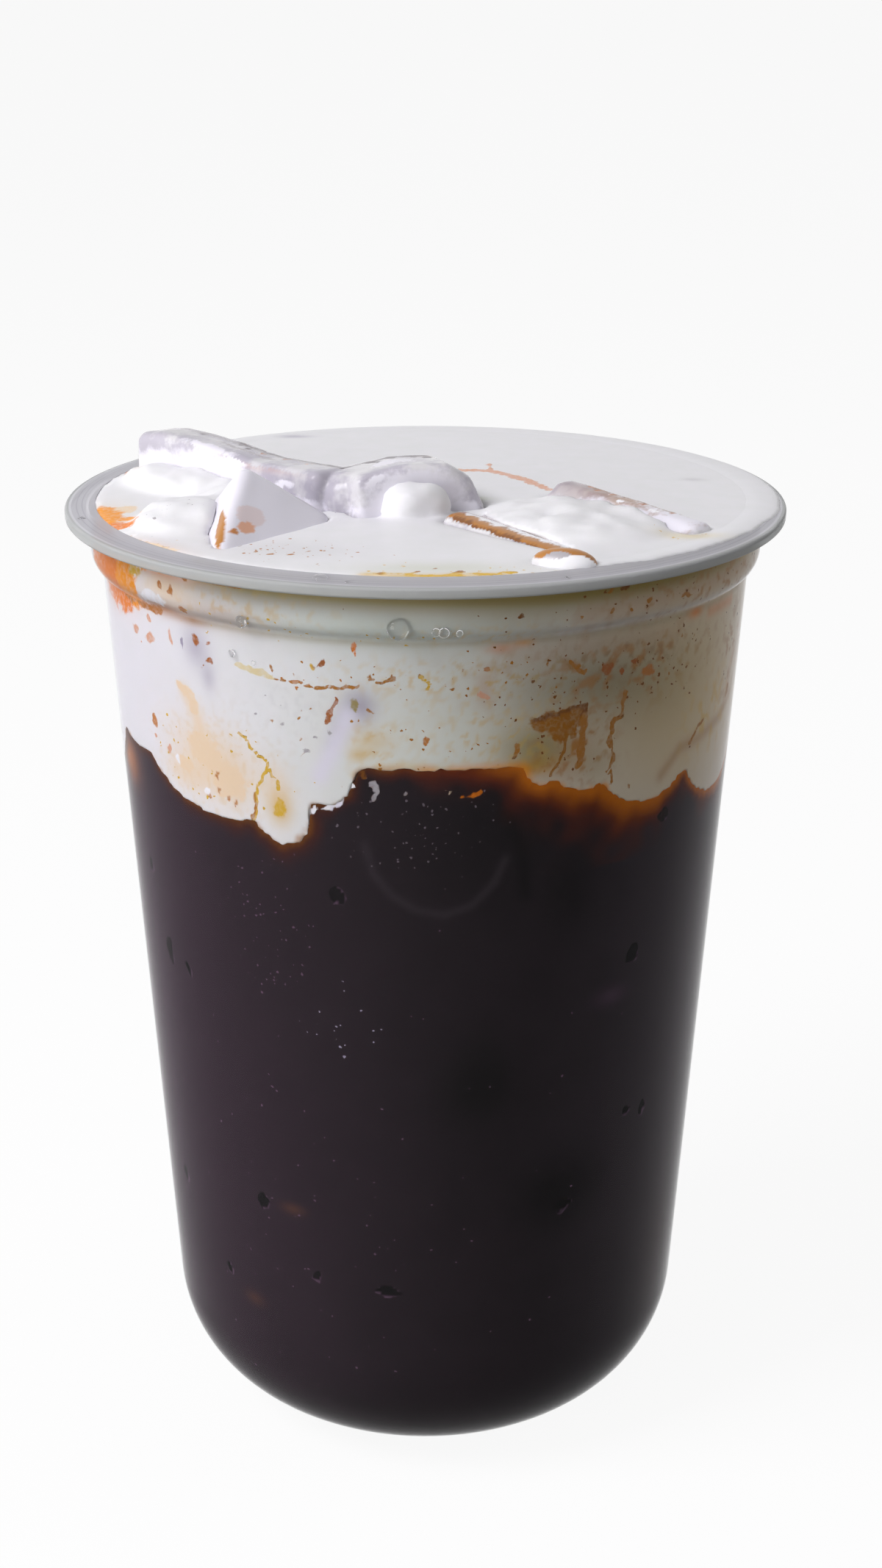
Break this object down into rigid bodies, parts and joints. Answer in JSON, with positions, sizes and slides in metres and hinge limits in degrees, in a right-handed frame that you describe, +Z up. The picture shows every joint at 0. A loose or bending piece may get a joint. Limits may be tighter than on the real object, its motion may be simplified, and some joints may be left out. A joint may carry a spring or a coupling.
{
  "type": "cold foam cold brew",
  "caption": "Iced cold brew coffee under a thick layer of white cold foam, in a clear round-bottomed plastic takeaway cup, with ice standing out of the foam.",
  "frame": {"origin": "on the table, under the middle of the cup", "axes": "+Z up along the cup's axis; the shown front is towards -Y and +X is to its right"},
  "size_m": [0.09, 0.09, 0.1303],
  "materials": {
    "clear_polypropylene": "clear, slightly hazy, moulded",
    "black_coffee": "dark liquid",
    "milk_foam": "soft satin foam",
    "ice": "melting ice, wet"
  },
  "bodies": {
    "root": {"cup": "clear_polypropylene", "cold_brew": "black_coffee", "cold_foam": "milk_foam", "ice_back_left": "ice", "ice_back_middle": "ice", "ice_front_left": "ice", "ice_right": "ice", "ice_chip": "ice"}
  },
  "joints": []
}
